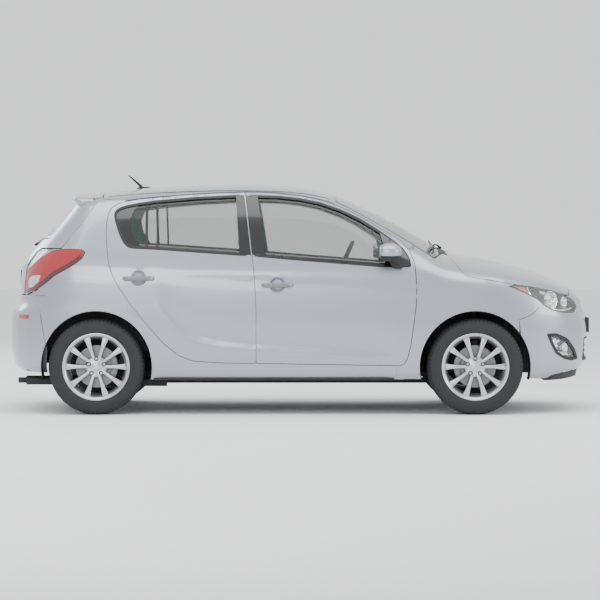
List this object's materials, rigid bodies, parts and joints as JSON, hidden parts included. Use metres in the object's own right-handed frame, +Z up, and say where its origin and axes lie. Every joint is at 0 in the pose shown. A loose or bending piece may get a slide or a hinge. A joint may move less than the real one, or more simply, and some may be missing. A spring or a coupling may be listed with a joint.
{
  "type": "hatchback car",
  "caption": "Five-door family hatchback with hollow cabin, opening doors, bonnet and tailgate, steered front wheels and free-rolling alloy wheels.",
  "frame": {"origin": "on the ground, at the middle of the car's length and width", "axes": "+X forward, +Y to the car's left, +Z up"},
  "size_m": [3.97, 2, 1.6186],
  "materials": {
    "body_paint": "silver-blue metallic paint",
    "glass": "light green tinted glass",
    "clear_lens": "clear lamp lens",
    "red_lens": "red lamp lens",
    "black_plastic": "grained black plastic",
    "interior_plastic": "soft dark grey plastic",
    "seat_cloth": "dark grey woven cloth",
    "handle_grey": "grey plastic",
    "floor_steel": "dark underbody coating",
    "engine_alloy": "cast aluminium",
    "tank_plastic": "black plastic",
    "exhaust_steel": "bare steel",
    "chassis_steel": "black paint",
    "wheel_alloy": "silver lacquered alloy",
    "tyre_rubber": "black rubber"
  },
  "bodies": {
    "shell": {"floor_pan": "floor_steel", "side_frame_left": "body_paint", "side_frame_right": "body_paint", "roof_panel": "body_paint", "front_fender_left": "body_paint", "front_fender_right": "body_paint", "front_bumper": "body_paint", "rear_bumper": "body_paint", "front_grille": "black_plastic", "front_lip": "black_plastic", "crash_beam": "floor_steel", "cowl_panel": "black_plastic", "windscreen": "glass", "headlamps": "clear_lens", "tail_lamps": "red_lens", "fog_lamps": "clear_lens", "engine_block": "engine_alloy", "fuel_tank": "tank_plastic", "exhaust": "exhaust_steel", "rear_axle": "chassis_steel", "front_subframe": "chassis_steel", "front_struts": "chassis_steel", "dashboard": "interior_plastic", "front_seats": "seat_cloth", "rear_seat": "seat_cloth", "wipers": "black_plastic", "roof_antenna": "black_plastic"},
    "bonnet": {"bonnet": "body_paint"},
    "tailgate": {"tailgate": "body_paint", "tailgate_glass": "glass", "rear_spoiler": "body_paint", "rear_wiper": "black_plastic"},
    "front_door_left": {"front_door_left": "body_paint", "front_glass_left": "glass", "front_handle_left": "handle_grey", "mirror_left": "body_paint"},
    "front_door_right": {"front_door_right": "body_paint", "front_glass_right": "glass", "front_handle_right": "handle_grey", "mirror_right": "body_paint"},
    "rear_door_left": {"rear_door_left": "body_paint", "rear_glass_left": "glass", "rear_handle_left": "handle_grey"},
    "rear_door_right": {"rear_door_right": "body_paint", "rear_glass_right": "glass", "rear_handle_right": "handle_grey"},
    "steering_wheel": {"steering_wheel": "interior_plastic"},
    "knuckle_left": {"knuckle_left": "chassis_steel"},
    "knuckle_right": {"knuckle_right": "chassis_steel"},
    "wheel_front_left": {"wheel_front_left": "wheel_alloy", "tyre_front_left": "tyre_rubber"},
    "wheel_front_right": {"wheel_front_right": "wheel_alloy", "tyre_front_right": "tyre_rubber"},
    "wheel_rear_left": {"wheel_rear_left": "wheel_alloy", "tyre_rear_left": "tyre_rubber"},
    "wheel_rear_right": {"wheel_rear_right": "wheel_alloy", "tyre_rear_right": "tyre_rubber"}
  },
  "joints": [
    {"name": "bonnet_hinge", "type": "hinge", "parent": "shell", "child": "bonnet", "pos_m": [0.999, 0, 1.097], "axis": [0, -1, 0], "range_deg": [0, 55]},
    {"name": "tailgate_hinge", "type": "hinge", "parent": "shell", "child": "tailgate", "pos_m": [-1.333, 0, 1.4945], "axis": [0, 1, 0], "range_deg": [0, 80]},
    {"name": "front_door_left_hinge", "type": "hinge", "parent": "shell", "child": "front_door_left", "pos_m": [0.7765, 0.85, 0.7], "axis": [0, 0, -1], "range_deg": [0, 65]},
    {"name": "front_door_right_hinge", "type": "hinge", "parent": "shell", "child": "front_door_right", "pos_m": [0.7765, -0.85, 0.7], "axis": [0, 0, 1], "range_deg": [0, 65]},
    {"name": "rear_door_left_hinge", "type": "hinge", "parent": "shell", "child": "rear_door_left", "pos_m": [-0.292, 0.8555, 0.7], "axis": [0, 0, -1], "range_deg": [0, 68]},
    {"name": "rear_door_right_hinge", "type": "hinge", "parent": "shell", "child": "rear_door_right", "pos_m": [-0.292, -0.8555, 0.7], "axis": [0, 0, 1], "range_deg": [0, 68]},
    {"name": "steer_left", "type": "hinge", "parent": "shell", "child": "knuckle_left", "pos_m": [1.168, 0.69, 0.32], "axis": [0, 0, 1], "range_deg": [-34, 34]},
    {"name": "steer_right", "type": "hinge", "parent": "shell", "child": "knuckle_right", "pos_m": [1.168, -0.69, 0.32], "axis": [0, 0, 1], "range_deg": [-34, 34]},
    {"name": "steering_wheel_turn", "type": "hinge", "parent": "shell", "child": "steering_wheel", "pos_m": [0.3, 0.37, 0.99], "axis": [-0.9063, 0, 0.4226], "range_deg": [-515, 515]},
    {"name": "spin_front_left", "type": "hinge", "parent": "knuckle_left", "child": "wheel_front_left", "pos_m": [1.168, 0.74, 0.32], "axis": [0, 1, 0], "continuous": true},
    {"name": "spin_front_right", "type": "hinge", "parent": "knuckle_right", "child": "wheel_front_right", "pos_m": [1.168, -0.74, 0.32], "axis": [0, 1, 0], "continuous": true},
    {"name": "spin_rear_left", "type": "hinge", "parent": "shell", "child": "wheel_rear_left", "pos_m": [-1.357, 0.74, 0.32], "axis": [0, 1, 0], "continuous": true},
    {"name": "spin_rear_right", "type": "hinge", "parent": "shell", "child": "wheel_rear_right", "pos_m": [-1.357, -0.74, 0.32], "axis": [0, 1, 0], "continuous": true}
  ],
  "couplings": [
    {"joint": "steer_right", "follows": "steer_left", "ratio": 1},
    {"joint": "steering_wheel_turn", "follows": "steer_left", "ratio": 15}
  ]
}
